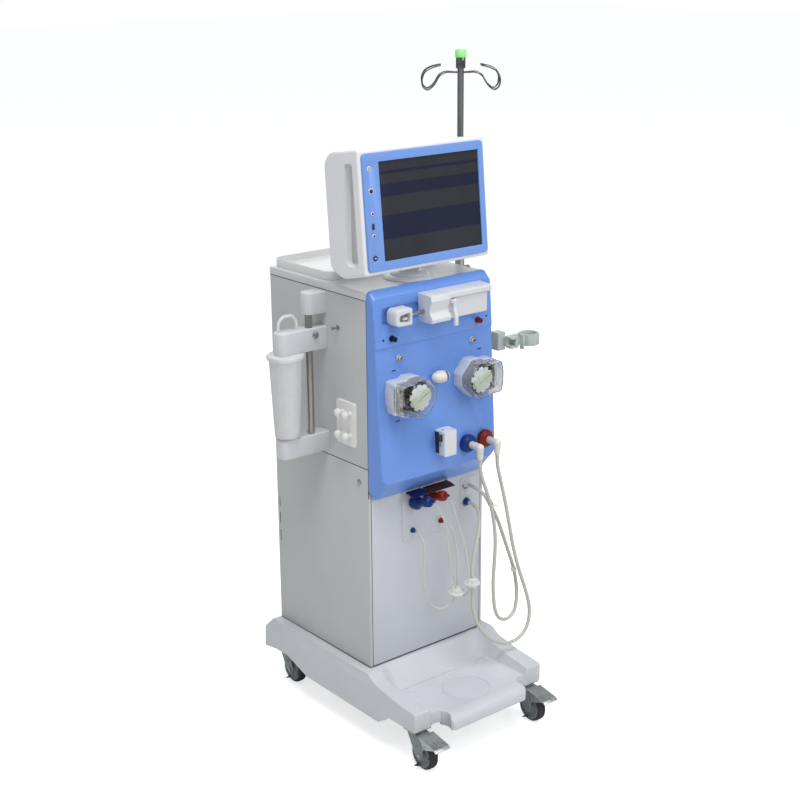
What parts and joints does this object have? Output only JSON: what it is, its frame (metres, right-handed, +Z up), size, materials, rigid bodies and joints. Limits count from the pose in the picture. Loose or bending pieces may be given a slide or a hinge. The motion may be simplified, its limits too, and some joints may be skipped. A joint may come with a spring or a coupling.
{
  "type": "haemodialysis machine",
  "caption": "Haemodialysis machine on casters: tilting monitor, blue pump fascia, syringe pump, cartridge cup, bag pole, dialyser clamp, hoses and a base with a front well.",
  "frame": {"origin": "middle of the footprint at floor level, under the casters", "axes": "+X to the right of a person facing the front, +Y to the rear, +Z up"},
  "size_m": [0.6965, 0.718, 1.711],
  "materials": {
    "chrome": "polished chrome",
    "clear": "clear moulded cover",
    "dark": "dark grey plastic",
    "deep_blue": "gloss dark blue fittings",
    "frosted": "frosted translucent plastic",
    "hose": "translucent cream silicone",
    "lamp": "green tinted lamp cap",
    "plastic_blue": "satin light blue moulding",
    "plastic_white": "fine-grained white moulding",
    "red": "gloss red fittings",
    "rubber": "grey black rubber tyre on a grey hub",
    "screen": "dark display glass",
    "shell_white": "satin off-white powder coat",
    "steel": "zinc plated or brushed steel"
  },
  "bodies": {
    "machine": {"air_detector_body": "plastic_white", "base_frame": "steel", "base_moulding": "plastic_white", "blue_fittings": "deep_blue", "cartridge": "frosted", "chassis_frame": "steel", "front_fascia": "plastic_blue", "holder_rod": "steel", "hose_blue": "hose", "hose_fittings": "plastic_white", "hose_red": "hose", "internal_modules": "dark", "lower_front_panels": "shell_white", "monitor_turntable": "plastic_white", "panel_fasteners": "steel", "pole_sleeve": "steel", "pump_housings": "plastic_white", "pump_raceways": "steel", "rear_fittings": "dark", "rear_panel": "shell_white", "red_fittings": "red", "side_brackets": "plastic_white", "side_panels": "shell_white", "syringe_pump_body": "plastic_white", "top_cover": "shell_white", "top_tray": "plastic_white", "tube_blue": "hose", "tube_red": "hose", "white_fittings": "plastic_white"},
    "fork_front_left": {"caster_fork_front_left": "steel"},
    "wheel_front_left": {"caster_wheel_front_left": "rubber"},
    "pedal_left": {"brake_pedal_left": "dark"},
    "fork_front_right": {"caster_fork_front_right": "steel"},
    "wheel_front_right": {"caster_wheel_front_right": "rubber"},
    "pedal_right": {"brake_pedal_right": "dark"},
    "fork_rear_left": {"caster_fork_rear_left": "steel"},
    "wheel_rear_left": {"caster_wheel_rear_left": "rubber"},
    "fork_rear_right": {"caster_fork_rear_right": "steel"},
    "wheel_rear_right": {"caster_wheel_rear_right": "rubber"},
    "monitor_post": {"monitor_neck": "plastic_white"},
    "monitor_head": {"monitor_rear_cover": "plastic_white", "monitor_bezel": "plastic_blue", "monitor_screen": "screen", "monitor_controls": "dark"},
    "power_button": {"power_button": "plastic_white"},
    "start_button": {"start_button": "plastic_blue"},
    "rotor_left": {"pump_rotor_left": "plastic_white"},
    "lid_left": {"pump_lid_left": "clear"},
    "rotor_right": {"pump_rotor_right": "plastic_white"},
    "lid_right": {"pump_lid_right": "clear"},
    "detector_door": {"air_detector_door": "plastic_white"},
    "syringe_pusher": {"syringe_pusher": "plastic_white"},
    "syringe_clamp": {"syringe_clamp": "plastic_white"},
    "flap_blue": {"flap_blue": "deep_blue"},
    "flap_red": {"flap_red": "red"},
    "cartridge_arm": {"holder_upper_arm": "plastic_white"},
    "pole": {"iv_pole": "chrome", "status_lamp": "lamp"},
    "dialyser_arm": {"dialyser_arm": "plastic_white"},
    "dialyser_jaw": {"dialyser_jaw": "plastic_white"}
  },
  "joints": [
    {"name": "swivel_front_left", "type": "hinge", "parent": "machine", "child": "fork_front_left", "pos_m": [-0.186, -0.261, 0.095], "axis": [0, 0, 1], "continuous": true},
    {"name": "roll_front_left", "type": "hinge", "parent": "fork_front_left", "child": "wheel_front_left", "pos_m": [-0.186, -0.291, 0.04], "axis": [1, 0, 0], "continuous": true},
    {"name": "brake_left", "type": "hinge", "parent": "fork_front_left", "child": "pedal_left", "pos_m": [-0.186, -0.315, 0.076], "axis": [1, 0, 0], "range_deg": [0, 8]},
    {"name": "swivel_front_right", "type": "hinge", "parent": "machine", "child": "fork_front_right", "pos_m": [0.186, -0.261, 0.095], "axis": [0, 0, 1], "continuous": true},
    {"name": "roll_front_right", "type": "hinge", "parent": "fork_front_right", "child": "wheel_front_right", "pos_m": [0.186, -0.291, 0.04], "axis": [1, 0, 0], "continuous": true},
    {"name": "brake_right", "type": "hinge", "parent": "fork_front_right", "child": "pedal_right", "pos_m": [0.186, -0.315, 0.076], "axis": [1, 0, 0], "range_deg": [0, 8]},
    {"name": "swivel_rear_left", "type": "hinge", "parent": "machine", "child": "fork_rear_left", "pos_m": [-0.165, 0.318, 0.095], "axis": [0, 0, 1], "continuous": true},
    {"name": "roll_rear_left", "type": "hinge", "parent": "fork_rear_left", "child": "wheel_rear_left", "pos_m": [-0.165, 0.288, 0.04], "axis": [1, 0, 0], "continuous": true},
    {"name": "swivel_rear_right", "type": "hinge", "parent": "machine", "child": "fork_rear_right", "pos_m": [0.165, 0.318, 0.095], "axis": [0, 0, 1], "continuous": true},
    {"name": "roll_rear_right", "type": "hinge", "parent": "fork_rear_right", "child": "wheel_rear_right", "pos_m": [0.165, 0.288, 0.04], "axis": [1, 0, 0], "continuous": true},
    {"name": "monitor_swivel", "type": "hinge", "parent": "machine", "child": "monitor_post", "pos_m": [0, -0.013, 1.19], "axis": [0, 0, 1], "range_deg": [-75, 75]},
    {"name": "monitor_tilt", "type": "hinge", "parent": "monitor_post", "child": "monitor_head", "pos_m": [0, -0.013, 1.243], "axis": [1, 0, 0], "range_deg": [-10, 10]},
    {"name": "power_button_press", "type": "slide", "parent": "monitor_head", "child": "power_button", "axis": [0, 0.9956, -0.0941], "range_m": [0, 0.0015], "stiffness_N_per_m": 400, "springref_m": -0.0008},
    {"name": "start_button_press", "type": "slide", "parent": "monitor_head", "child": "start_button", "axis": [0, 0.9956, -0.0941], "range_m": [0, 0.0015], "stiffness_N_per_m": 400, "springref_m": -0.0008},
    {"name": "rotor_spin_left", "type": "hinge", "parent": "machine", "child": "rotor_left", "pos_m": [-0.1, -0.143, 0.921], "axis": [0, -1, 0], "continuous": true},
    {"name": "lid_swing_left", "type": "hinge", "parent": "machine", "child": "lid_left", "pos_m": [-0.16, -0.155, 0.921], "axis": [0, 0, 1], "range_deg": [-95, 0]},
    {"name": "rotor_spin_right", "type": "hinge", "parent": "machine", "child": "rotor_right", "pos_m": [0.1, -0.143, 0.927], "axis": [0, -1, 0], "continuous": true},
    {"name": "lid_swing_right", "type": "hinge", "parent": "machine", "child": "lid_right", "pos_m": [0.16, -0.155, 0.927], "axis": [0, 0, 1], "range_deg": [0, 95]},
    {"name": "detector_door_swing", "type": "hinge", "parent": "machine", "child": "detector_door", "pos_m": [0.027, -0.149, 0.778], "axis": [0, 0, 1], "range_deg": [0, 110]},
    {"name": "syringe_drive", "type": "slide", "parent": "machine", "child": "syringe_pusher", "axis": [1, 0, 0], "range_m": [-0.01, 0.045]},
    {"name": "syringe_clamp_swing", "type": "hinge", "parent": "machine", "child": "syringe_clamp", "pos_m": [0.022, -0.156, 1.136], "axis": [1, 0, 0], "range_deg": [-60, 0]},
    {"name": "flap_blue_lift", "type": "hinge", "parent": "machine", "child": "flap_blue", "pos_m": [0, -0.092, 0.647], "axis": [1, 0, 0], "range_deg": [-40, 4]},
    {"name": "flap_red_lift", "type": "hinge", "parent": "machine", "child": "flap_red", "pos_m": [0, -0.092, 0.647], "axis": [1, 0, 0], "range_deg": [-40, 0]},
    {"name": "cartridge_arm_lift", "type": "slide", "parent": "machine", "child": "cartridge_arm", "axis": [0, 0, 1], "range_m": [0, 0.03]},
    {"name": "pole_lift", "type": "slide", "parent": "machine", "child": "pole", "axis": [0, 0, 1], "range_m": [-0.08, 0.25]},
    {"name": "dialyser_swivel", "type": "hinge", "parent": "machine", "child": "dialyser_arm", "pos_m": [0.218, 0.042, 0.982], "axis": [0, 0, 1], "range_deg": [-8, 100]},
    {"name": "dialyser_jaw_open", "type": "hinge", "parent": "dialyser_arm", "child": "dialyser_jaw", "pos_m": [0.27, -0.119, 0.982], "axis": [0, 0, 1], "range_deg": [-30, 0]}
  ]
}
